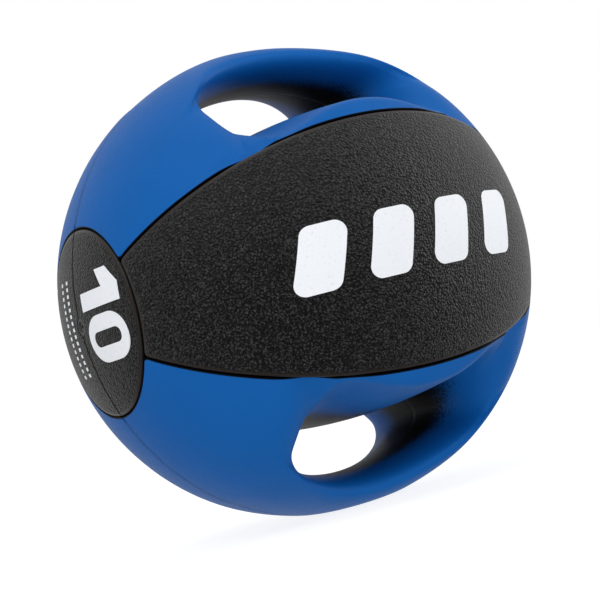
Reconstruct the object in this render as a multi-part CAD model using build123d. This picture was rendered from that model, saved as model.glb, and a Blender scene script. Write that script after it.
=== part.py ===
from build123d import *
from math import atan, atan2, cos, degrees, radians, sin, sqrt
import os

# Twin-grip rubber medicine ball, 10 kg.
# Frame: origin at the ball's centre, +Z through the middle of one grip, X through the two
# end caps with the inflation valve at -X, Y through the two side panels, with -Y the front.
# The mould parts on the plane y = 0, so most mouldings come as a front and a rear half.

# Overall sizes, in millimetres and degrees.
BALL_RADIUS = 140.0
COVER_THICKNESS = 5.0
END_WALL_THICKNESS = 12.0    # of the cover on the end walls of the hand slots
REST_FLAT_DROP = 2.1         # from the sphere in to the flat on each grip

# Hand slots: each one is a sector turned about the Y axis, open to the sphere on both sides.
SLOT_HALF_ANGLE = 41.5       # from the Z axis to an end wall
SLOT_FLOOR_RADIUS = 88.0     # from the Y axis to the floor at mid length
SLOT_FLOOR_FALL = 9.0        # how much nearer the axis the floor is at its lips
SLOT_CORNER_RADIUS = 13.0    # between the floor and an end wall
SLOT_OVERRUN = 20.0          # how far the cutting shape runs on outside the ball

# Grips: a flattened bar that widens towards its two roots.
GRIP_THICKNESS = 23.2
GRIP_WIDTH = 70.0
GRIP_ROOT_WIDTH = 154.0      # where the bar meets the slot's end walls
GRIP_CROWN_GAP = 0.6         # from the sphere to the bar at mid length
GRIP_CROWN_RISE = 2.0        # how far the crown comes out again towards the roots
GRIP_OVERRUN = 8.0           # degrees that the bar runs on past the end walls
GRIP_STEPS = 8               # between the sections that it is lofted through

# Side panels and end caps, inlaid flush with the cover.
PANEL_HALF_ANGLE = 29.5      # about the X axis
CAP_RADIUS = 53.5
INLAY_EDGE_RADIUS = 1.2

# Bladder: a flattened round cushion under a wound layer of thread.
CAVITY_RADIUS = 96.0         # in the XY plane
CAVITY_HALF_HEIGHT = 40.0
CAVITY_EDGE_RADIUS = 28.0    # of the section at its rim
WINDING_THICKNESS = 1.5
BLADDER_THICKNESS = 2.5

# Inflation valve, on the X axis in the left end cap.
VALVE_RADIUS = 5.0
VALVE_SETBACK = 0.4          # from the sphere in to the valve's ring
VALVE_DISH_RADIUS = 3.4
VALVE_DISH_DEPTH = 0.8
VALVE_TAIL = 6.0             # how far the housing reaches into the cavity
COLLAR_RADIUS = 9.0
COLLAR_THICKNESS = 4.0
COLLAR_DEPTH = 28.0          # from the ring to the collar
NEEDLE_BORE_RADIUS = 1.1
NEEDLE_BORE_LENGTH = 13.0
PLUG_RADIUS = 3.0
PLUG_LENGTH = 16.0
PASSAGE_RADIUS = 1.5

# Printed marks: a thin film of ink on the sphere.
INK_THICKNESS = 0.2
EMBLEM_BARS = 4
EMBLEM_PITCH = 38.0
EMBLEM_BAR_WIDTH = 24.0
EMBLEM_HEIGHT = 35.0
EMBLEM_SLANT = 18.0          # degrees from upright
EMBLEM_CORNER_RADIUS = 6.0
EMBLEM_CENTRE_Z = -2.5
DIGIT_HEIGHT = 36.0
DIGIT_FEET = 8.0             # from the parting plane to the digits' feet
DIGIT_STROKE = 10.0
ONE_FLAG_REACH = 10.0        # from the stem out to the flag's tip
ONE_FLAG_DROP = 9.0          # from the top of the stem to the top of the flag
ONE_FLAG_HEIGHT = 9.5
ZERO_ROUNDING = 0.49         # corner radius over width
ONE_CENTRE_Z = 11.8
ZERO_WIDTH = 26.5
ZERO_COUNTER_WIDTH = 8.5
ZERO_COUNTER_HEIGHT = 25.0
ZERO_CENTRE_Z = -10.4
TICK_ROWS = (11.0, 20.5)     # from the parting plane to each row of ticks
TICK_COUNT = 15
TICK_PITCH = 3.8
TICK_HEIGHT = 2.6
TICK_WIDTH = 2.0

BLOCK = 4 * BALL_RADIUS      # larger than the whole ball


def half_space(x, y, z):
    """A block that fills one side of the plane through the centre with this normal."""
    return Pos(x * BLOCK / 2, y * BLOCK / 2, z * BLOCK / 2) * Box(BLOCK, BLOCK, BLOCK)


def turned_over(shape):
    """The same piece at the bottom of the ball instead of the top."""
    return mirror(shape, about=Plane.XY)


def turned_round(shape):
    """The same piece at the other side of the ball, half a turn about Z."""
    return Rot(0, 0, 180) * shape


def turned_about_x(*points):
    """A solid of revolution about the X axis from its half outline, with its seam off z = 0."""
    return Rot(45, 0, 0) * revolve(make_face(Polyline(*points, close=True)), axis=Axis.X)


def slot_space(inset, wall_inset):
    """The open space of the upper hand slot, with its floor and end walls moved into the ball."""
    lip = SLOT_FLOOR_RADIUS - SLOT_FLOOR_FALL
    reach = sqrt(BALL_RADIUS**2 - lip**2)
    bow = (reach**2 + SLOT_FLOOR_FALL**2) / (2 * SLOT_FLOOR_FALL)
    floor = SLOT_FLOOR_RADIUS - inset
    far = outer = BALL_RADIUS + SLOT_OVERRUN
    end = floor - bow + sqrt(bow**2 - far**2)
    curve = ThreePointArc((end, -far), (floor, 0), (end, far))
    sides = Polyline((end, far), (outer, far), (outer, -far), (end, -far))
    wall_middle = (SLOT_FLOOR_RADIUS + BALL_RADIUS) / 2
    half = SLOT_HALF_ANGLE + degrees(atan(wall_inset / wall_middle))
    sector = revolve(make_face([curve, sides]), axis=Axis.Y, revolution_arc=2 * half)
    sector = Rot(0, -90 - half, 0) * sector
    arcs = sector.edges().filter_by(GeomType.CIRCLE)
    corners = [edge for edge in arcs if edge.radius > 2 * BALL_RADIUS]
    return fillet(corners, SLOT_CORNER_RADIUS + inset)


def grip_bar(inset):
    """The upper grip, lofted through ellipses set round the Y axis, thinner by inset."""
    last = SLOT_HALF_ANGLE + GRIP_OVERRUN
    sections = []
    for step in range(GRIP_STEPS + 1):
        angle = last * (2 * step / GRIP_STEPS - 1)
        share = (angle / SLOT_HALF_ANGLE) ** 2
        half_width = (GRIP_WIDTH + (GRIP_ROOT_WIDTH - GRIP_WIDTH) * share) / 2
        crown = BALL_RADIUS - GRIP_CROWN_GAP + GRIP_CROWN_RISE * share
        middle = crown - GRIP_THICKNESS / 2
        across = Vector(sin(radians(angle)), 0, cos(radians(angle)))
        along = Vector(cos(radians(angle)), 0, -sin(radians(angle)))
        plane = Plane(origin=across * middle, x_dir=across, z_dir=along)
        sections.append(plane * Ellipse(GRIP_THICKNESS / 2 - inset, half_width - inset))
    return loft(sections) & Sphere(BALL_RADIUS - inset)


def slotted_ball(inset=0, wall_inset=0):
    """The ball with its two hand slots and no grips, or what is left inside its cover."""
    slot = slot_space(inset, wall_inset)
    return Sphere(BALL_RADIUS - inset) - slot - turned_over(slot)


def oval(inset):
    """Half of the cavity's section: a flat arc above and below, joined by a tight one."""
    radius, height = CAVITY_RADIUS - inset, CAVITY_HALF_HEIGHT - inset
    tight = CAVITY_EDGE_RADIUS - inset
    reach = radius - tight
    flat = (reach**2 + height**2 - tight**2) / (2 * (height - tight))
    turn = atan2(reach, flat - height)
    middle = (flat * sin(turn / 2), height - flat + flat * cos(turn / 2))
    joint = (flat * sin(turn), height - flat + flat * cos(turn))
    above = ThreePointArc((0, height), middle, joint)
    rim = ThreePointArc(joint, (radius, 0), (joint[0], -joint[1]))
    below = ThreePointArc((joint[0], -joint[1]), (middle[0], -middle[1]), (0, -height))
    return make_face([above, rim, below, Line((0, -height), (0, height))])


def cavity_layer(outside, inside=None):
    """The layer of the cavity between two depths, or all of it within the first one."""
    section = oval(outside) - oval(inside) if inside else oval(outside)
    return revolve(Plane.XZ * section, axis=Axis.Z)


def inlay(space):
    """The part of the cover's thickness that lies in a space."""
    return (Sphere(BALL_RADIUS) - Sphere(BALL_RADIUS - COVER_THICKNESS)) & space


def rounded_outside(piece):
    """A panel or cap with the edge of its outer face rounded."""
    outer = piece.faces().filter_by(GeomType.SPHERE).sort_by(SortBy.AREA)[-1]
    return fillet(outer.edges(), INLAY_EDGE_RADIUS)


def cap_space():
    """A round bar along X where the left end cap is let in."""
    return Pos(-BLOCK / 4, 0, 0) * Rot(0, 90, 0) * Cylinder(CAP_RADIUS, BLOCK / 2)


def valve_hole():
    """The round hole through the left end cap, which shows the valve's ring."""
    return Pos(-BLOCK / 4, 0, 0) * Rot(0, 90, 0) * Cylinder(VALVE_RADIUS, BLOCK / 2)


def panel_space():
    """The wedge about the X axis where the front panel is let in, between the end caps."""
    reach = 2 * BALL_RADIUS
    rise = reach * sin(radians(PANEL_HALF_ANGLE))
    run = -reach * cos(radians(PANEL_HALF_ANGLE))
    corners = [(0, 0, 0), (0, run, rise), (0, run, -rise)]
    wedge = extrude(make_face(Polyline(*corners, close=True)), BLOCK / 2, (1, 0, 0), both=True)
    return wedge - cap_space() - turned_round(cap_space())


def valve_faces():
    """Where the valve starts at the ring, and where it ends inside the bladder, along X."""
    return -(BALL_RADIUS - VALVE_SETBACK), -(CAVITY_RADIUS - VALVE_TAIL)


def valve_space():
    """All that the valve housing takes up, with what it holds."""
    ring, tail = valve_faces()
    near = ring + COLLAR_DEPTH
    far = near + COLLAR_THICKNESS
    stem = [(tail, 0), (ring, 0), (ring, VALVE_RADIUS), (near, VALVE_RADIUS)]
    collar = [(near, COLLAR_RADIUS), (far, COLLAR_RADIUS), (far, VALVE_RADIUS)]
    return turned_about_x(*stem, *collar, (tail, VALVE_RADIUS))


def valve_plug():
    """The soft plug behind the needle bore, which closes again when the needle comes out."""
    start = valve_faces()[0] + VALVE_DISH_DEPTH + NEEDLE_BORE_LENGTH
    end = start + PLUG_LENGTH
    return turned_about_x((start, 0), (start, PLUG_RADIUS), (end, PLUG_RADIUS), (end, 0))


def air_way():
    """The dish, the needle bore, the plug's pocket and the passage on to the bladder."""
    ring, tail = valve_faces()
    dish = ring + VALVE_DISH_DEPTH
    bore_end = dish + NEEDLE_BORE_LENGTH
    mouth = [(ring, 0), (ring, VALVE_DISH_RADIUS), (dish, VALVE_DISH_RADIUS - VALVE_DISH_DEPTH)]
    bore = [(dish, NEEDLE_BORE_RADIUS), (bore_end, NEEDLE_BORE_RADIUS)]
    pocket = [(bore_end, PLUG_RADIUS), (bore_end + PLUG_LENGTH, PLUG_RADIUS)]
    passage = [(bore_end + PLUG_LENGTH, PASSAGE_RADIUS), (tail, PASSAGE_RADIUS), (tail, 0)]
    return turned_about_x(*mouth, *bore, *pocket, *passage)


def printed(sketch, away):
    """A flat mark carried out to the sphere along the way it faces, as a film of ink."""
    beam = extrude(sketch, BLOCK / 2, away)
    return beam & (Sphere(BALL_RADIUS + INK_THICKNESS) - Sphere(BALL_RADIUS))


def emblem():
    """A row of slanted bars with rounded corners, on the front panel."""
    lean = EMBLEM_HEIGHT / 2 * sin(radians(EMBLEM_SLANT)) / cos(radians(EMBLEM_SLANT))
    half_width, half_height = EMBLEM_BAR_WIDTH / 2, EMBLEM_HEIGHT / 2
    corners = [
        (-half_width - lean, -half_height),
        (half_width - lean, -half_height),
        (half_width + lean, half_height),
        (-half_width + lean, half_height),
    ]
    bar = Polygon(*corners, align=None)
    bar = fillet(bar.vertices(), EMBLEM_CORNER_RADIUS)
    bars = []
    for i in range(EMBLEM_BARS):
        across = EMBLEM_PITCH * (i - (EMBLEM_BARS - 1) / 2)
        bars.append(printed(Plane.XZ * Pos(across, EMBLEM_CENTRE_Z) * bar, (0, -1, 0)))
    return bars


# Marks on the left cap read from the top of the ball to the bottom, with their heads
# towards the front panel.
CAP_PLANE = Plane(origin=(0, 0, 0), x_dir=(0, 0, -1), z_dir=(-1, 0, 0))


def weight_mark():
    """The numeral 10, which gives the ball's weight in kilograms."""
    half = DIGIT_STROKE / 2
    tip = half + ONE_FLAG_REACH
    flag_top = DIGIT_HEIGHT - ONE_FLAG_DROP
    flag_foot = flag_top - ONE_FLAG_HEIGHT
    one = Polygon(
        (-half, 0),
        (half, 0),
        (half, DIGIT_HEIGHT),
        (-half, DIGIT_HEIGHT),
        (-tip, flag_top),
        (-tip, flag_foot),
        (-half, flag_foot + half),
        align=None,
    )
    zero = RectangleRounded(ZERO_WIDTH, DIGIT_HEIGHT, ZERO_ROUNDING * ZERO_WIDTH)
    zero = zero - RectangleRounded(
        ZERO_COUNTER_WIDTH, ZERO_COUNTER_HEIGHT, ZERO_ROUNDING * ZERO_COUNTER_WIDTH
    )
    one = Pos(-ONE_CENTRE_Z, DIGIT_FEET) * one
    zero = Pos(-ZERO_CENTRE_Z, DIGIT_FEET + DIGIT_HEIGHT / 2) * zero
    return [printed(CAP_PLANE * digit, (-1, 0, 0)) for digit in (one, zero)]


def tick_marks():
    """Two rows of short ticks on the rear half of the left cap."""
    tick = Rectangle(TICK_WIDTH, TICK_HEIGHT)
    ticks = []
    for row in TICK_ROWS:
        for i in range(TICK_COUNT):
            along = TICK_PITCH * (i - (TICK_COUNT - 1) / 2)
            ticks.append(printed(CAP_PLANE * Pos(along, -row) * tick, (-1, 0, 0)))
    return ticks


def write(name, *pieces):
    solids = [solid for piece in pieces for solid in piece.solids()]
    shape = solids[0] if len(solids) == 1 else Compound(children=solids)
    shape.label = name
    export_step(shape, f"parts/{name}.step")


os.makedirs("parts", exist_ok=True)
FRONT, REAR = half_space(0, -1, 0), half_space(0, 1, 0)
TOP, BOTTOM = half_space(0, 0, 1), half_space(0, 0, -1)

# Inside: two core halves of heavy rubber round the bladder, and a core in each grip.
inner = slotted_ball(COVER_THICKNESS, END_WALL_THICKNESS)
grip_core = grip_bar(COVER_THICKNESS) - inner
core = inner - cavity_layer(0) - valve_space()
write("core_front", core & FRONT)
write("core_rear", core & REAR)
write("grip_core_top", grip_core)
write("grip_core_bottom", turned_over(grip_core))
write("winding", cavity_layer(0, WINDING_THICKNESS) - valve_space())
lining = cavity_layer(WINDING_THICKNESS, WINDING_THICKNESS + BLADDER_THICKNESS)
write("bladder", lining - valve_space())
write("valve_housing", valve_space() - air_way())
write("valve_plug", valve_plug())

# Inlays: a panel on the front and rear, and an end cap in two halves on the left and right.
panel = inlay(panel_space())
caps = inlay(cap_space())
write("panel_front", rounded_outside(panel))
write("panel_rear", turned_round(rounded_outside(panel)))
cap = rounded_outside(caps)
write("cap_left_front", cap - valve_hole() & FRONT)
write("cap_left_rear", cap - valve_hole() & REAR)
write("cap_right_front", turned_round(cap) & FRONT)
write("cap_right_rear", turned_round(cap) & REAR)

# Cover: four quarters that wrap the grips and line the hand slots.
flat = Pos(0, 0, BALL_RADIUS - REST_FLAT_DROP + BLOCK / 2) * Box(BLOCK, BLOCK, BLOCK)
grip = grip_bar(0)
cover = slotted_ball() + grip + turned_over(grip) - flat - turned_over(flat)
cover = cover - inner - grip_core - turned_over(grip_core)
for piece in (panel, caps):
    cover = cover - piece - turned_round(piece)
for side, half in (("front", FRONT), ("rear", REAR)):
    write(f"cover_{side}_top", cover & half & TOP)
    write(f"cover_{side}_bottom", cover & half & BOTTOM)

# Print on the panels and caps.
for name, marks, here, there in (
    ("emblem", emblem(), "front", "rear"),
    ("weight_mark", weight_mark(), "left", "right"),
    ("tick_marks", tick_marks(), "left", "right"),
):
    write(f"{name}_{here}", *marks)
    write(f"{name}_{there}", *[turned_round(mark) for mark in marks])
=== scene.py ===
import math
from functools import partial

import bpy
import numpy as np
from mathutils import Euler, Matrix


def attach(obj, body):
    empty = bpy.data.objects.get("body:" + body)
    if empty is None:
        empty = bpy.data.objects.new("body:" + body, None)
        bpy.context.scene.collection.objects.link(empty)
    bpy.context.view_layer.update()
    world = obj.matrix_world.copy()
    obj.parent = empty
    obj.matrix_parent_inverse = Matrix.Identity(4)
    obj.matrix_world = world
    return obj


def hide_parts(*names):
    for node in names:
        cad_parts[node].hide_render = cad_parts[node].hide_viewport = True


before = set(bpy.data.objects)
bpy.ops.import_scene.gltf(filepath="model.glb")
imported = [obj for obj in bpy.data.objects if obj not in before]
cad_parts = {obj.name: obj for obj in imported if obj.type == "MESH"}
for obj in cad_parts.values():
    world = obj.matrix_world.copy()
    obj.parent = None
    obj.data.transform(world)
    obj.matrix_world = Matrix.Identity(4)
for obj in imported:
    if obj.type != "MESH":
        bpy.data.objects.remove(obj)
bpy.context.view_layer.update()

# The ball's radius is the unit of every shape here, and is brought to metres at the end.
# X runs through the end caps and Z through the two grips, and the mould parts on y = 0.
BALL = 0.140
MM = 0.001 / BALL


# ---------------------------------------------------------------------------------------
# Cover: four quarters of blue rubber, moulded with the grips and the walls of the hand
# slots. The blue is a tinted coat over black rubber, sprayed from outside, so it thins out
# to bare black in the depth of each slot.
# ---------------------------------------------------------------------------------------
PANEL_HALF_ANGLE = math.radians(29.5)    # of the side panel, about the X axis
CAP_HALF_ANGLE = math.asin(53.5 * MM)    # of the end cap, from the X axis
SKIN = 3.0 * MM                # thickness drawn for the cover, panels and caps

SLOT_FLOOR = 88.1 * MM         # radius about the Y axis at mid length
SLOT_FLOOR_FALL = 0.097        # how fast the floor nears the axis with y squared
SLOT_END = 60.9 * MM           # x of the end walls at mid length
SLOT_END_FLARE = 0.098         # how fast the end walls open with y squared
SLOT_CORNER = 0.277            # width of the blend between floor and end wall
LIP_BLEND = 2.8 * MM           # over the slot's edge along the floor
END_BLEND = 20.2 * MM          # over its edge at the end walls
LIP_TO_END = 0.075             # half the stretch over which one becomes the other

GRIP_HALF_THICKNESS = 11.6 * MM
GRIP_HALF_WIDTH = 35.0 * MM
GRIP_WIDENING = 0.634          # half width gained with the angle squared
GRIP_CROWN_GAP = 0.6 * MM      # from the sphere in to the crown
GRIP_CROWN_BLEND = 1.4 * MM
GRIP_END = 0.85                # angle at which the bar stops, deep inside the end walls
ROOT_BLEND = 7.0 * MM          # between the grip and the end walls
ROOT_BLEND_DEPTH = 5.0 * MM    # how far inside the sphere that blend is at its widest
ROOT_BLEND_OUTSIDE = 0.2 * MM  # its width at the sphere
REST_FLAT = 137.95 * MM        # height of the flattened middle of each grip
REST_FLAT_BLEND = 3.0 * MM


def smooth_step(value, low, high):
    """0 below low, 1 above high, and a cubic ease between."""
    share = np.clip((value - low) / (high - low), 0, 1)
    return share * share * (3 - 2 * share)


def unit(points):
    """Points brought to a distance of 1 from the centre."""
    return points / np.linalg.norm(points, axis=-1, keepdims=True)


def blend_max(a, b, width):
    """The larger of two values, rounded over where they are within width of each other."""
    near = np.maximum(width - np.abs(a - b), 0) / width
    return np.maximum(a, b) + near * near * width / 4


def blend_min(a, b, width):
    """The smaller of two values, rounded over in the same way."""
    return -blend_max(-a, -b, width)


def cover_field(points):
    """Distance from the cover's outer surface, negative inside the rubber.

    The unit sphere loses a slot, whose floor is turned about the Y axis and whose end walls
    are upright. A bar of elliptical section, which widens towards its roots, is added back
    across the slot. Each joint is a rounded blend, tight at the lip and wide at the ends.
    """
    x, y, z = np.abs(points[..., 0]), np.abs(points[..., 1]), np.abs(points[..., 2])
    radius = np.hypot(x, z)
    sphere = np.sqrt(radius**2 + y**2) - 1
    wall = x - (SLOT_END + SLOT_END_FLARE * y * y)
    floor = SLOT_FLOOR - SLOT_FLOOR_FALL * y * y - radius
    slot = blend_max(floor, wall, SLOT_CORNER)
    at_wall = smooth_step(wall - floor, -LIP_TO_END, LIP_TO_END)
    core = blend_max(sphere, -slot, LIP_BLEND + (END_BLEND - LIP_BLEND) * at_wall)

    angle = np.arctan2(x, z)
    half_width = GRIP_HALF_WIDTH + GRIP_WIDENING * angle**2
    up = (radius - (1 - GRIP_CROWN_GAP - GRIP_HALF_THICKNESS)) / GRIP_HALF_THICKNESS
    along = y / half_width
    size = np.hypot(up, along)
    slope = np.hypot(up / GRIP_HALF_THICKNESS, along / half_width) / np.maximum(size, 1e-6)
    bar = blend_max((size - 1) / np.maximum(slope, 1e-6), sphere, GRIP_CROWN_BLEND)
    bar = np.maximum(bar, angle - GRIP_END)

    inside = smooth_step(-sphere, 0, ROOT_BLEND_DEPTH)
    root = ROOT_BLEND_OUTSIDE + (ROOT_BLEND - ROOT_BLEND_OUTSIDE) * inside
    return blend_max(blend_min(core, bar, root), z - REST_FLAT, REST_FLAT_BLEND)


def settle(points, field, steps=14):
    """Slides each point down the field's slope until it lies on the surface."""
    nudge = 1e-4
    for _ in range(steps):
        value = field(points)
        slope = np.stack([
            field(points + nudge * axis) - field(points - nudge * axis) for axis in np.eye(3)
        ], -1) / (2 * nudge)
        length = np.maximum((slope**2).sum(-1), 0.05)
        points = points - (value / length)[..., None] * slope
    return points, unit(slope)


def eased(count, ends):
    """count + 1 values from 0 to 1, closer together at the high end or at both."""
    share = np.linspace(0, 1, count + 1)
    if ends == "both":
        return share - 0.8 * np.sin(2 * np.pi * share) / (2 * np.pi)
    return 1 - (1 - share) ** 1.25


# The slot's mouth and, between the two quarters, its narrower waist are both rounded
# oblongs about the Y axis: half length as an angle, middle radius, and half height.
MOUTH_ANGLE, MOUTH_RADIUS, MOUTH_REACH = 0.68, 0.74, 0.177
WAIST_ANGLE, WAIST_RADIUS, WAIST_REACH = 0.60, 0.73, 0.10
MOUTH_POWER = 0.8              # below 1 squares the oblong off
HALF_TURNS = np.radians([-90, -38, 12, 90])   # lip, end wall and grip on one half of it
HALF_COUNTS = (52, 40, 60)     # columns along each of those
ROWS_INSIDE, ROWS_OUTSIDE = 56, 64


def oblong(turns):
    """Shares of the half length and half height, for turns round a rounded oblong."""
    return [np.sign(share) * np.abs(share) ** MOUTH_POWER for share in (np.cos(turns), np.sin(turns))]


def outer_edge(turns):
    """The quarter's outer edge, as seen from the slot: panel, end cap, then parting line."""
    cos_cap, sin_cap = math.cos(CAP_HALF_ANGLE), math.sin(CAP_HALF_ANGLE)
    side = np.where(np.cos(turns) < 0, -1, 1)
    turn = np.where(np.cos(turns) < 0, np.pi - turns, turns)
    share = [np.clip((turn - a) / (b - a), 0, 1) for a, b in zip(HALF_TURNS[:-1], HALF_TURNS[1:])]
    along = share[0] * (np.pi / 2 - CAP_HALF_ANGLE)
    about = PANEL_HALF_ANGLE + share[1] * (np.pi / 2 - PANEL_HALF_ANGLE)
    back = (1 - share[2]) * (np.pi / 2 - CAP_HALF_ANGLE)
    on_panel = np.stack([np.sin(along), -np.cos(along) * math.cos(PANEL_HALF_ANGLE),
                         np.cos(along) * math.sin(PANEL_HALF_ANGLE)], -1)
    on_cap = np.stack([np.full_like(about, cos_cap), -sin_cap * np.cos(about),
                       sin_cap * np.sin(about)], -1)
    on_seam = np.stack([np.sin(back), np.zeros_like(back), np.cos(back)], -1)
    edge = np.where((share[1] > 0)[:, None], on_cap, on_panel)
    edge = np.where((share[2] > 0)[:, None], on_seam, edge)
    edge[:, 0] *= side
    return edge


def mouth(turns):
    """Angle about Y, radius about Y, and y along the slot's mouth, for turns round it."""
    across, up = oblong(turns)
    angle, radius = MOUTH_ANGLE * across, MOUTH_RADIUS + MOUTH_REACH * up
    on_grip = GRIP_HALF_WIDTH + GRIP_WIDENING * angle**2
    weight = smooth_step(np.sin(turns), 0.0, 1.0)
    return angle, radius, -(np.sqrt(1 - radius**2) * (1 - weight) + on_grip * weight)


def loop_turns():
    """Turns round the mouth, spaced evenly along each stretch, from the lip's middle."""
    half = [HALF_TURNS[:1]]
    for start, end, count in zip(HALF_TURNS[:-1], HALF_TURNS[1:], HALF_COUNTS):
        fine = np.linspace(start, end, 4001)
        angle, radius, y = mouth(fine)
        path = np.stack([radius * np.sin(angle), y, radius * np.cos(angle)], -1)
        length = np.concatenate([[0], np.linalg.norm(np.diff(path, axis=0), axis=1).cumsum()])
        half.append(np.interp(np.linspace(0, length[-1], count + 1)[1:], length, fine))
    right = np.concatenate(half)
    return np.concatenate([right, np.pi - right[-2:0:-1]])


def cover_grid():
    """Points of the front top quarter: rows from the slot's waist out to the outer edge.

    Inside the slot a row moves on a quarter ellipse from the waist to the mouth. Outside it
    moves on great circles from the mouth to the quarter's edge. Each point's depth is 0 at
    the waist and 1 from the mouth outwards.
    """
    turns = loop_turns()
    mouth_angle, mouth_radius, mouth_y = mouth(turns)
    across, up = oblong(turns)
    waist_angle, waist_radius = WAIST_ANGLE * across, WAIST_RADIUS + WAIST_REACH * up

    lean = (np.pi / 2 * eased(ROWS_INSIDE, "high"))[:, None]
    angle = mouth_angle + (waist_angle - mouth_angle) * np.cos(lean)
    radius = mouth_radius + (waist_radius - mouth_radius) * np.cos(lean)
    inside = np.stack([radius * np.sin(angle), mouth_y * np.sin(lean) + 0 * radius,
                       radius * np.cos(angle)], -1)

    start, end = unit(inside[-1]), outer_edge(turns)
    between = np.arccos(np.clip((start * end).sum(-1), -1, 1))[None, :, None]
    share = eased(ROWS_OUTSIDE, "both")[1:, None, None]
    outside = np.sin((1 - share) * between) * start + np.sin(share * between) * end
    points = np.concatenate([inside, outside / np.sin(between)])
    depth = np.concatenate([np.sin(lean) + 0 * radius, np.ones(outside.shape[:2])])
    return points, depth


EVENING_ROUNDS = 20
FREE_ROWS, HELD_ROWS = 70, 100   # rows moved in full, and rows from which none moves


def evened(points, field):
    """Spreads crowded columns along each row, keeping every point on the surface."""
    points, slope = settle(points, field)
    held = smooth_step(np.arange(len(points)), FREE_ROWS, HELD_ROWS)[:, None, None]
    for _ in range(EVENING_ROUNDS):
        middle = (np.roll(points, 1, 1) + np.roll(points, -1, 1)) / 2
        smooth = points + (middle - points) * (1 - held) / 2
        smooth[0, :, 1] = 0
        points, slope = settle(smooth, field, 3)
    return points, slope


def edge_fall(distance, width, depth):
    """How far a rounded edge falls away: a quarter ellipse of this width and depth."""
    share = 1 - np.clip(distance / width, 0, 1)
    return depth * (1 - np.sqrt(1 - share**2))


def softened(directions, rounds):
    """Directions averaged with their neighbours on a grid that closes round its columns."""
    for _ in range(rounds):
        padded = np.concatenate([directions[:1], directions, directions[-1:]])
        directions = unit(padded[:-2] + padded[2:] + np.roll(directions, 1, 1)
                          + np.roll(directions, -1, 1) + directions)
    return directions


GROOVE_DEPTH = 2.2 * MM        # of the groove round each inlay
COVER_EDGE = 1.0 * MM          # width of the cover's rounded edge along it
ON_SPHERE = (0.97, 0.99)       # distance from the centre at which that edge fades in

grid, depth = cover_grid()
grid, upright = evened(grid, cover_field)
to_panel = grid[..., 2] * math.cos(PANEL_HALF_ANGLE) + grid[..., 1] * math.sin(PANEL_HALF_ANGLE)
to_cap = np.arccos(np.clip(np.abs(unit(grid)[..., 0]), 0, 1)) - CAP_HALF_ANGLE
to_inlay = np.abs(blend_min(to_panel, to_cap, 2 * MM))
on_outside = smooth_step(np.linalg.norm(grid, axis=-1), *ON_SPHERE)
fall = edge_fall(to_inlay, COVER_EDGE, GROOVE_DEPTH) * on_outside
cover_outer = grid - upright * fall[..., None]
cover_inner = grid - softened(upright, 30) * SKIN
cover_inner[..., 1] = np.where(np.abs(grid[..., 1]) < 1e-9, 0, cover_inner[..., 1])


def linear(hex_colour):
    """An sRGB hex colour as the linear values that a shader takes."""
    parts = np.array([int(hex_colour[i:i + 2], 16) for i in (1, 3, 5)]) / 255
    values = np.where(parts > 0.04045, ((parts + 0.055) / 1.055) ** 2.4, parts / 12.92)
    return (*values, 1.0)


def node(material, kind, inputs=None, **settings):
    """Adds one shader node with its settings, to a material or to the world.

    Its inputs are values, hex colours, sockets, or whole nodes, which give their first
    output that is in use.
    """
    made = material.node_tree.nodes.new(kind)
    for name, value in settings.items():
        setattr(made, name, value)
    for name, value in (inputs or {}).items():
        if isinstance(value, bpy.types.Node):
            value = next(socket for socket in value.outputs if socket.enabled)
        if isinstance(value, bpy.types.NodeSocket):
            material.node_tree.links.new(value, made.inputs[name])
        else:
            made.inputs[name].default_value = linear(value) if isinstance(value, str) else value
    return made


def new_material(name):
    """An empty material with its output node."""
    material = bpy.data.materials.new(name)
    material.use_nodes = True
    material.node_tree.nodes.clear()
    return material


# Vulcanised rubber with a sprayed coat: a deep, nearly matt blue with a fine grain, a low
# flat ridge where the mould halves met with a nick on each side of it, and a ragged fade to
# black where the spray gave out. Painted shade darkens the nicks and the cover's edge down
# into each groove, and a painted highlight turns the ridge grey where the coat is bare.
MATT_SPECULAR = 0.1
blue_rubber = new_material("blue vulcanised rubber")
add = partial(node, blue_rubber)
place = add("ShaderNodeTexCoord").outputs["Object"]
coat = add("ShaderNodeAttribute", attribute_name="coat").outputs["Fac"]
edge = add("ShaderNodeAttribute", attribute_name="edge").outputs["Fac"]
cloudy = add("ShaderNodeTexNoise", {"Vector": place, "Scale": 1000 / 30.0, "Detail": 4.0})
grain = add("ShaderNodeTexNoise", {"Vector": place, "Scale": 1000 / 0.9, "Detail": 3.0,
                                   "Roughness": 0.6})
wave = add("ShaderNodeTexNoise", {"Vector": place, "Scale": 1000 / 9.0})

spray = add("ShaderNodeTexNoise", {"Vector": place, "Scale": 1000 / 0.9, "Roughness": 0.6})
spray = add("ShaderNodeMath", {0: spray, 1: 0.7, 2: -0.35}, operation="MULTIPLY_ADD")
spray = add("ShaderNodeMath", {0: coat, 1: spray}, operation="ADD")
coated = add("ShaderNodeMapRange", {0: spray, 1: 0.3, 2: 0.6}, interpolation_type="SMOOTHSTEP")

y = add("ShaderNodeSeparateXYZ", {0: place}).outputs["Y"]
away = add("ShaderNodeMath", {0: y, 1: 1000.0}, operation="MULTIPLY")
away = add("ShaderNodeMath", {0: away}, operation="ABSOLUTE")
ridge = add("ShaderNodeMapRange", {0: away, 1: 0.55, 2: 0.9, 3: 1.0, 4: 0.0},
            interpolation_type="SMOOTHSTEP")
nick_start = add("ShaderNodeMapRange", {0: away, 1: 0.8, 2: 1.1}, interpolation_type="SMOOTHSTEP")
nick_end = add("ShaderNodeMapRange", {0: away, 1: 1.2, 2: 1.7, 3: 1.0, 4: 0.0},
               interpolation_type="SMOOTHSTEP")
nick = add("ShaderNodeMath", {0: nick_start, 1: nick_end}, operation="MULTIPLY")

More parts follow.
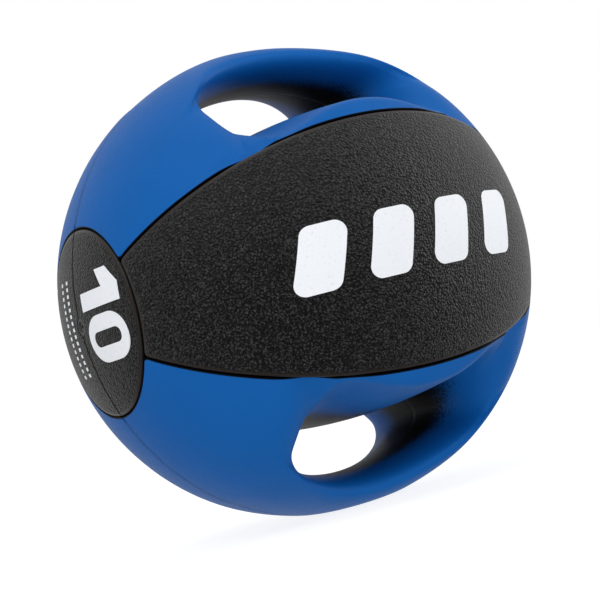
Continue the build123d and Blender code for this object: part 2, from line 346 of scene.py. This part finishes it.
tint = add("ShaderNodeMix", {0: cloudy, 6: "#0a5aa6", 7: "#0c60b0"}, data_type="RGBA")
# Painted shade: the nicks beside the parting ridge are tinted dark navy (#0b2440).
nick_shade = add("ShaderNodeMath", {0: nick, 1: 0.55}, operation="MULTIPLY")
tint = add("ShaderNodeMix", {0: nick_shade, 6: tint, 7: "#0b2440"}, data_type="RGBA")
tint = add("ShaderNodeMix", {0: coated, 6: "#0f1013", 7: tint}, data_type="RGBA")
# Painted highlight: where the coat is bare, the parting ridge is tinted grey (#55585c) as if catching
# light.
bare = add("ShaderNodeMapRange", {0: coated, 1: 0.0, 2: 0.3, 3: 0.4, 4: 0.0},
           interpolation_type="SMOOTHSTEP")
ridge_highlight = add("ShaderNodeMath", {0: ridge, 1: bare}, operation="MULTIPLY")
tint = add("ShaderNodeMix", {0: ridge_highlight, 6: tint, 7: "#55585c"}, data_type="RGBA")
# Painted shade: within about a millimetre of an inlay, where the cover's edge rounds down into the
# groove, it is tinted near black.
clear_of_groove_shade = add("ShaderNodeMapRange", {0: edge, 1: 0.7, 2: 1.3}, interpolation_type="SMOOTHSTEP")
tint = add("ShaderNodeMix", {0: clear_of_groove_shade, 6: "#050608", 7: tint}, data_type="RGBA")

height = add("ShaderNodeMath", {0: grain, 1: 0.6}, operation="MULTIPLY")
height = add("ShaderNodeMath", {0: ridge, 1: 1.2, 2: height}, operation="MULTIPLY_ADD")
height = add("ShaderNodeMath", {0: nick, 1: -1.5, 2: height}, operation="MULTIPLY_ADD")
bump = add("ShaderNodeBump", {"Height": height, "Distance": 0.0003})
bump = add("ShaderNodeBump", {"Height": wave, "Distance": 0.00012, "Normal": bump})
rough = add("ShaderNodeMapRange", {0: grain, 1: 0.2, 2: 0.8, 3: 0.42, 4: 0.56},
            interpolation_type="SMOOTHSTEP")
shader = add("ShaderNodeBsdfPrincipled", {"Base Color": tint, "Roughness": rough, "Normal": bump,
                                          "Specular IOR Level": MATT_SPECULAR})
add("ShaderNodeOutputMaterial", {0: shader})


def build(name, outer, inner, material, ring=False, crease=40, **values):
    """Closed shells from grids of points, one grid for each face, joined along their edges.

    The last three axes are rows, columns and coordinates. Any axis before them counts
    separate shells of one mesh. With ring, the last column meets the first. Further grids
    of numbers, one per point of outer, become attributes of the mesh.
    """
    outer, inner = (grid.reshape(-1, *grid.shape[-3:]) for grid in (outer, inner))
    index = np.arange(2 * outer[..., 0].size).reshape(2, *outer.shape[:3])
    if ring:
        index = np.concatenate([index, index[..., :1]], axis=-1)
    faces = []
    for sheet, turn in ((index[0], 1), (index[1], -1)):
        quads = [sheet[:, :-1, :-1], sheet[:, :-1, 1:], sheet[:, 1:, 1:], sheet[:, 1:, :-1]]
        faces.append(np.stack(quads, -1)[..., ::turn].reshape(-1, 4))
    rims = [(index[:, :, 0], -1), (index[:, :, -1], 1)]
    if not ring:
        rims += [(index[..., 0], 1), (index[..., -1], -1)]
    for (top, low), turn in rims:
        quads = [top[:, :-1], top[:, 1:], low[:, 1:], low[:, :-1]]
        faces.append(np.stack(quads, -1)[..., ::turn].reshape(-1, 4))
    quads = np.concatenate(faces)
    points = np.concatenate([outer.reshape(-1, 3), inner.reshape(-1, 3)])
    corner = [points[quads[:, i]] for i in range(4)]
    volume = (corner[0] * np.cross(corner[1], corner[2]) + corner[0] * np.cross(corner[2], corner[3]))
    if volume.sum() < 0:
        quads = quads[:, ::-1]
    mesh = bpy.data.meshes.new(name)
    mesh.from_pydata((points * BALL).tolist(), [], quads.tolist())
    for key, grid in values.items():
        layer = mesh.attributes.new(key, "FLOAT", "POINT")
        layer.data.foreach_set("value", np.tile(grid.ravel(), 2).astype(np.float32))
    mesh.shade_smooth()
    mesh.set_sharp_from_angle(angle=math.radians(crease))
    mesh.materials.append(material)
    piece = bpy.data.objects.new(name, mesh)
    bpy.context.scene.collection.objects.link(piece)
    return piece


def fitted(piece, cad_node):
    """Rides on the ball and stands for its CAD node."""
    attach(piece, "root")
    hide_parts(cad_node)


for side, y_sign in (("front", 1), ("rear", -1)):
    for level, z_sign in (("top", 1), ("bottom", -1)):
        turned = np.array([1, y_sign, z_sign])
        piece = build(f"cover-{side}-{level}", cover_outer * turned, cover_inner * turned,
                      blue_rubber, ring=True, coat=depth, edge=to_inlay / MM)
        fitted(piece, f"cover_{side}_{level}")


# ---------------------------------------------------------------------------------------
# Side panels and end caps: black rubber, moulded with a pebble grain and laid into the
# cover. The grain stops short of the edges, which are smooth and rounded.
# ---------------------------------------------------------------------------------------
# Grained rubber, straight from an etched mould: mottled near-black with pebbles of about
# 1.2 mm, drawn a little coarser than they are so that they show, and a soft shine on their
# tops that is partly painted as a lighter tint, with painted shade between them. The smooth
# margin is browner as a painted highlight, and the edge down into the groove is painted
# black as shade.
PEBBLE_PITCH = 1 / 0.82        # millimetres
PEBBLE_HEIGHT = 0.0008         # metres
black_rubber = new_material("pebbled black rubber")
add = partial(node, black_rubber)
place = add("ShaderNodeTexCoord").outputs["Object"]
edge = add("ShaderNodeAttribute", attribute_name="edge").outputs["Fac"]
grainy = add("ShaderNodeMapRange", {0: edge, 1: 1.8, 2: 3.6}, interpolation_type="SMOOTHSTEP")
cloudy = add("ShaderNodeTexNoise", {"Vector": place, "Scale": 1000 / 26.0, "Detail": 4.0})
mottled = add("ShaderNodeTexNoise", {"Vector": place, "Scale": 1000 / 1.1, "Detail": 1.0})
grain = add("ShaderNodeTexNoise", {"Vector": place, "Scale": 1000 / 0.5, "Detail": 3.0,
                                   "Roughness": 0.6})

wander = add("ShaderNodeTexNoise", {"Vector": place, "Scale": 900.0}).outputs["Color"]
wander = add("ShaderNodeVectorMath", {0: wander, 1: (0.0006, 0.0006, 0.0006)},
             operation="MULTIPLY")
wandering = add("ShaderNodeVectorMath", {0: place, 1: wander}, operation="ADD")
cells = add("ShaderNodeTexVoronoi", {"Vector": wandering, "Scale": 1000 / PEBBLE_PITCH,
                                     "Smoothness": 0.6, "Randomness": 1.0},
            feature="SMOOTH_F1")
pebbles = add("ShaderNodeMapRange", {0: cells, 1: 0.15, 2: 0.75, 3: 1.0, 4: 0.0},
              interpolation_type="SMOOTHSTEP")
pebbles = add("ShaderNodeMath", {0: pebbles, 1: grainy}, operation="MULTIPLY")

tint = add("ShaderNodeMix", {0: cloudy, 6: "#3a3a3d", 7: "#434346"}, data_type="RGBA")
light = add("ShaderNodeMapRange", {0: mottled, 1: 0.42, 2: 0.58}, interpolation_type="SMOOTHSTEP")
tint = add("ShaderNodeMix", {0: light, 6: "#0c0c0d", 7: tint}, data_type="RGBA")
# Painted sheen and shade: pebble tops keep the lighter tint, and the gaps between them are tinted
# near black (#040404).
tint = add("ShaderNodeMix", {0: pebbles, 6: "#040404", 7: tint}, data_type="RGBA")
# Painted highlight: the smooth rounded margin is tinted brown (#2b2320), as light catching the
# rounded edge.
tint = add("ShaderNodeMix", {0: grainy, 6: "#2b2320", 7: tint}, data_type="RGBA")
# Painted shade: the edge down into the groove, and along the seam between cap halves, is tinted
# black.
clear_of_groove_shade = add("ShaderNodeMapRange", {0: edge, 1: 0.5, 2: 1.3}, interpolation_type="SMOOTHSTEP")
tint = add("ShaderNodeMix", {0: clear_of_groove_shade, 6: "#030303", 7: tint}, data_type="RGBA")

height = add("ShaderNodeMath", {0: grain, 1: 0.2, 2: pebbles}, operation="MULTIPLY_ADD")
bump = add("ShaderNodeBump", {"Height": height, "Distance": PEBBLE_HEIGHT})
rough = add("ShaderNodeMapRange", {0: grain, 1: 0.2, 2: 0.8, 3: 0.3, 4: 0.42},
            interpolation_type="SMOOTHSTEP")
rough = add("ShaderNodeMath", {0: grainy, 1: 0.08, 2: rough}, operation="MULTIPLY_ADD")
shader = add("ShaderNodeBsdfPrincipled", {"Base Color": tint, "Roughness": rough, "Normal": bump,
                                          "Specular IOR Level": 0.5})
add("ShaderNodeOutputMaterial", {0: shader})

INLAY_EDGE = 2.0 * MM          # width of the rounded edge along the groove
SEAM_EDGE = 1.3 * MM           # width of the rounded edge where two cap halves meet
SEAM_DEPTH = 1.0 * MM


def inlay(name, grid, to_edge, to_seam):
    """A panel or cap from its grid on the sphere, with its edges rounded down."""
    fall = edge_fall(to_edge, INLAY_EDGE, GROOVE_DEPTH)
    fall = np.maximum(fall, edge_fall(to_seam, SEAM_EDGE, SEAM_DEPTH))
    piece = build(name, grid * (1 - fall)[..., None], grid * (1 - SKIN), black_rubber,
                  edge=np.minimum(to_edge, to_seam * 3 + MM) / MM)
    fitted(piece, name.replace("-", "_"))


# A panel's rows run round the ball from one cap to the other, and its columns go from the
# lower edge to the upper. It has no seam, so its distance to one is a whole radius.
from_pole = CAP_HALF_ANGLE + (math.pi - 2 * CAP_HALF_ANGLE) * eased(300, "both")[:, None]
lift = PANEL_HALF_ANGLE * (2 * eased(150, "both")[None, :] - 1)
panel = np.stack([np.cos(from_pole) + 0 * lift, -np.sin(from_pole) * np.cos(lift),
                  np.sin(from_pole) * np.sin(lift)], -1)
to_end = np.minimum(from_pole, np.pi - from_pole) - CAP_HALF_ANGLE
to_side = np.sin(PANEL_HALF_ANGLE - np.abs(lift)) * np.sin(from_pole)
to_edge = blend_min(to_end, to_side, 3 * MM)
for side, sign in (("front", 1), ("rear", -1)):
    inlay(f"panel-{side}", panel * [sign, sign, 1], to_edge, 1 + 0 * to_edge)

# Half of the left cap: rows from the valve's hole out to the rim, columns round the pole.
VALVE_HOLE = 5.0 * MM
hole_angle = math.asin(VALVE_HOLE)
outwards = 1 - (1 - np.linspace(0, 1, 91)[:, None]) ** 1.4
from_pole = hole_angle + (CAP_HALF_ANGLE - hole_angle) * outwards
about = np.pi * eased(180, "both")[None, :]
cap = np.stack([-np.cos(from_pole) + 0 * about, -np.sin(from_pole) * np.sin(about),
                np.sin(from_pole) * np.cos(about)], -1)
for side, sign in (("front", 1), ("rear", -1)):
    inlay(f"cap-left-{side}", cap * [1, sign, 1], CAP_HALF_ANGLE - from_pole + 0 * about,
          np.abs(cap[..., 1]))

# Half of the right cap, which has no hole: a square grid drawn out to a half disc.
across, down = 2 * eased(120, "both")[:, None] - 1, eased(90, "both")[None, :]
disc = (across * np.sqrt(1 - down**2 / 2), down * np.sqrt(1 - across**2 / 2))
reach = np.hypot(*disc)
from_pole = CAP_HALF_ANGLE * reach
share = np.sin(from_pole) / np.maximum(reach, 1e-9)
cap = np.stack([np.cos(from_pole), -share * disc[1], share * disc[0]], -1)
for side, sign in (("front", 1), ("rear", -1)):
    inlay(f"cap-right-{side}", cap * [1, sign, 1], CAP_HALF_ANGLE - from_pole,
          np.abs(cap[..., 1]))


# ---------------------------------------------------------------------------------------
# Inside: cores of heavy compounded rubber, thread wound on a butyl bladder, and the valve
# with its soft plug. These keep their CAD shapes.
# ---------------------------------------------------------------------------------------
def finish_nodes(material, *names):
    """Gives CAD nodes their material."""
    for name in names:
        for slot in bpy.data.objects[name].material_slots:
            slot.material = material


# Filled rubber, cut and pressed: dull, with crumbs of regrind about 3 mm across.
core_rubber = new_material("filled core rubber")
add = partial(node, core_rubber)
place = add("ShaderNodeTexCoord").outputs["Object"]
crumbs = add("ShaderNodeTexVoronoi", {"Vector": place, "Scale": 330.0})
dark = add("ShaderNodeMapRange", {0: crumbs, 1: 0.1, 2: 0.8}, interpolation_type="SMOOTHSTEP")
tint = add("ShaderNodeMix", {0: dark, 6: "#2e2d2c", 7: "#1a1a1a"}, data_type="RGBA")
coarse = add("ShaderNodeTexNoise", {"Vector": place, "Scale": 1000 / 1.5, "Detail": 4.0})
bump = add("ShaderNodeBump", {"Height": coarse, "Distance": 0.0003})
shader = add("ShaderNodeBsdfPrincipled", {"Base Color": tint, "Roughness": 0.75, "Normal": bump})
add("ShaderNodeOutputMaterial", {0: shader})
finish_nodes(core_rubber, "core_front", "core_rear", "grip_core_top", "grip_core_bottom")

# Nylon thread, wound wet with latex: pale strands side by side, which cross at random.
wound_thread = new_material("wound nylon thread")
add = partial(node, wound_thread)
place = add("ShaderNodeTexCoord").outputs["Object"]
strands = add("ShaderNodeTexWave", {"Vector": place, "Scale": 180.0, "Distortion": 3.0,
                                    "Detail": 1.0}).outputs["Fac"]
tint = add("ShaderNodeMix", {0: strands, 6: "#8f8d84", 7: "#d9d6cb"}, data_type="RGBA")
bump = add("ShaderNodeBump", {"Height": strands, "Distance": 0.0004})
shader = add("ShaderNodeBsdfPrincipled", {"Base Color": tint, "Roughness": 0.6, "Normal": bump})
add("ShaderNodeOutputMaterial", {0: shader})
finish_nodes(wound_thread, "winding")

# Butyl rubber, moulded thin: a smooth black skin with faint clouds.
butyl = new_material("butyl rubber")
add = partial(node, butyl)
place = add("ShaderNodeTexCoord").outputs["Object"]
cloudy = add("ShaderNodeTexNoise", {"Vector": place, "Scale": 1000 / 14.0, "Detail": 4.0})
tint = add("ShaderNodeMix", {0: cloudy, 6: "#151515", 7: "#202020"}, data_type="RGBA")
grain = add("ShaderNodeTexNoise", {"Vector": place, "Scale": 1000 / 2.0, "Detail": 3.0})
bump = add("ShaderNodeBump", {"Height": grain, "Distance": 0.00005})
shader = add("ShaderNodeBsdfPrincipled", {"Base Color": tint, "Roughness": 0.45, "Normal": bump})
add("ShaderNodeOutputMaterial", {0: shader})
finish_nodes(butyl, "bladder")

# Soft gum rubber, moulded: a shade lighter than the caps round it.
valve_rubber = new_material("valve rubber")
add = partial(node, valve_rubber)
place = add("ShaderNodeTexCoord").outputs["Object"]
cloudy = add("ShaderNodeTexNoise", {"Vector": place, "Scale": 1000 / 3.0, "Detail": 4.0})
tint = add("ShaderNodeMix", {0: cloudy, 6: "#2c2c2e", 7: "#444446"}, data_type="RGBA")
grain = add("ShaderNodeTexNoise", {"Vector": place, "Scale": 1000 / 0.8})
bump = add("ShaderNodeBump", {"Height": grain, "Distance": 0.00004})
shader = add("ShaderNodeBsdfPrincipled", {"Base Color": tint, "Roughness": 0.4, "Normal": bump})
add("ShaderNodeOutputMaterial", {0: shader})
finish_nodes(valve_rubber, "valve_housing", "valve_plug")


# ---------------------------------------------------------------------------------------
# Prints: the bars on the panels, and the numeral and ticks on the caps. They are films of
# white ink, screened on to the grain, and keep their CAD shapes.
# ---------------------------------------------------------------------------------------
# Screen ink: a flat cool white, thinner and greyer in specks where it bridges the grain.
white_ink = new_material("white screen ink")
add = partial(node, white_ink)
place = add("ShaderNodeTexCoord").outputs["Object"]
worn = add("ShaderNodeTexNoise", {"Vector": place, "Scale": 1000 / 1.4, "Detail": 4.0,
                                  "Roughness": 0.65})
covered = add("ShaderNodeMapRange", {0: worn, 1: 0.25, 2: 0.45}, interpolation_type="SMOOTHSTEP")
tint = add("ShaderNodeMix", {0: covered, 6: "#dbe0e8", 7: "#f0f3f8"}, data_type="RGBA")
grain = add("ShaderNodeTexNoise", {"Vector": place, "Scale": 1000 / 1.6})
bump = add("ShaderNodeBump", {"Height": grain, "Distance": 0.00008})
shader = add("ShaderNodeBsdfPrincipled", {"Base Color": tint, "Roughness": 0.5, "Normal": bump})
add("ShaderNodeOutputMaterial", {0: shader})
finish_nodes(white_ink, "emblem_front", "emblem_rear", "weight_mark_left", "weight_mark_right",
             "tick_marks_left", "tick_marks_right")


# ---------------------------------------------------------------------------------------
# Stage: a white floor under the lower grip's flat, a white surround, and soft studio light
# that is strongest from above and in front.
# ---------------------------------------------------------------------------------------
FLOOR_REACH = 6.0
FLOOR_LEVEL = -0.1381          # just under the lower grip's flat
floor_mesh = bpy.data.meshes.new("floor")
corners = [(x * FLOOR_REACH, y * FLOOR_REACH, FLOOR_LEVEL)
           for x, y in ((-1, -1), (1, -1), (1, 1), (-1, 1))]
floor_mesh.from_pydata(corners, [], [(0, 1, 2, 3)])
floor = bpy.data.objects.new("floor", floor_mesh)
bpy.context.scene.collection.objects.link(floor)
floor.visible_diffuse = False
floor.visible_glossy = False

# White paper that glows a little, so that it stays white with only a faint shadow on it.
paper = new_material("white paper floor")
add = partial(node, paper)
glow = add("ShaderNodeEmission", {0: (1.0, 1.0, 1.0, 1.0), 1: 0.85})
matt = add("ShaderNodeBsdfDiffuse", {0: (0.3, 0.3, 0.3, 1.0)})
both = add("ShaderNodeAddShader", {0: glow, 1: matt})
add("ShaderNodeOutputMaterial", {0: both})
floor_mesh.materials.append(paper)

# The surround is plain white to the camera, an even fill to matt surfaces, and in
# reflections it is brightest behind the ball.
world = bpy.data.worlds.new("studio")
bpy.context.scene.world = world
world.use_nodes = True
world.node_tree.nodes.clear()
add = partial(node, world)
WHITE = (1.0, 1.0, 1.0, 1.0)
BEHIND = (0.5, 0.84, 0.2)
heading = add("ShaderNodeTexCoord").outputs["Generated"]
up = add("ShaderNodeSeparateXYZ", {0: heading}).outputs["Z"]
behind = add("ShaderNodeVectorMath", {0: heading, 1: BEHIND}, operation="DOT_PRODUCT")
seen_by = add("ShaderNodeLightPath").outputs
strength = add("ShaderNodeMapRange", {0: up, 1: -0.9, 2: 0.9, 3: 0.7, 4: 0.75},
               interpolation_type="SMOOTHSTEP")
fill = add("ShaderNodeBackground", {0: WHITE, 1: strength})
strength = add("ShaderNodeMapRange", {0: behind, 1: -0.2, 2: 0.9, 3: 0.15, 4: 0.9},
               interpolation_type="SMOOTHSTEP")
reflected = add("ShaderNodeBackground", {0: WHITE, 1: strength})
plain = add("ShaderNodeBackground", {0: WHITE, 1: 1.0})
lit = add("ShaderNodeMixShader", {0: seen_by["Is Glossy Ray"], 1: fill, 2: reflected})
lit = add("ShaderNodeMixShader", {0: seen_by["Is Camera Ray"], 1: lit, 2: plain})
add("ShaderNodeOutputWorld", {0: lit})


def softbox(name, centre, width, height, power, shines):
    """A rectangular light that faces the ball. One that doesn't shine leaves no highlight."""
    lamp = bpy.data.lights.new(name, "AREA")
    lamp.shape = "RECTANGLE"
    lamp.size, lamp.size_y, lamp.energy = width, height, power
    holder = bpy.data.objects.new(name, lamp)
    holder.visible_camera = False
    holder.visible_glossy = shines
    back = unit(np.array(centre, float))
    side = unit(np.cross([0, 0, 1], back)) if abs(back[2]) < 0.99 else np.array([1.0, 0, 0])
    turn = np.stack([side, np.cross(back, side), back], 1)
    holder.matrix_world = Matrix.LocRotScale(centre, Matrix(turn.tolist()).to_quaternion(), None)
    bpy.context.scene.collection.objects.link(holder)


softbox("top softbox", (-0.3, -0.5, 1.6), 1.6, 1.6, 5.0, True)
softbox("front softbox", (-0.85, -1.45, -0.35), 1.4, 1.0, 12.0, False)
softbox("key light", (-1.0, -0.8, 1.1), 0.5, 0.5, 3.0, True)
softbox("right softbox", (1.6, -0.5, 0.4), 1.0, 1.4, 8.0, True)

CAMERA_PLACE = (-0.46156, -0.77539, -0.06584)
CAMERA_TURN = np.radians((93.5248, 14.7917, -29.8828))
lens = bpy.data.cameras.new("camera")
lens.lens, lens.sensor_width = 90.8, 36.0
camera = bpy.data.objects.new("camera", lens)
camera.matrix_world = Matrix.LocRotScale(CAMERA_PLACE, Euler(CAMERA_TURN), None)
bpy.context.scene.collection.objects.link(camera)
bpy.context.scene.camera = camera
bpy.context.scene.view_settings.view_transform = "Standard"
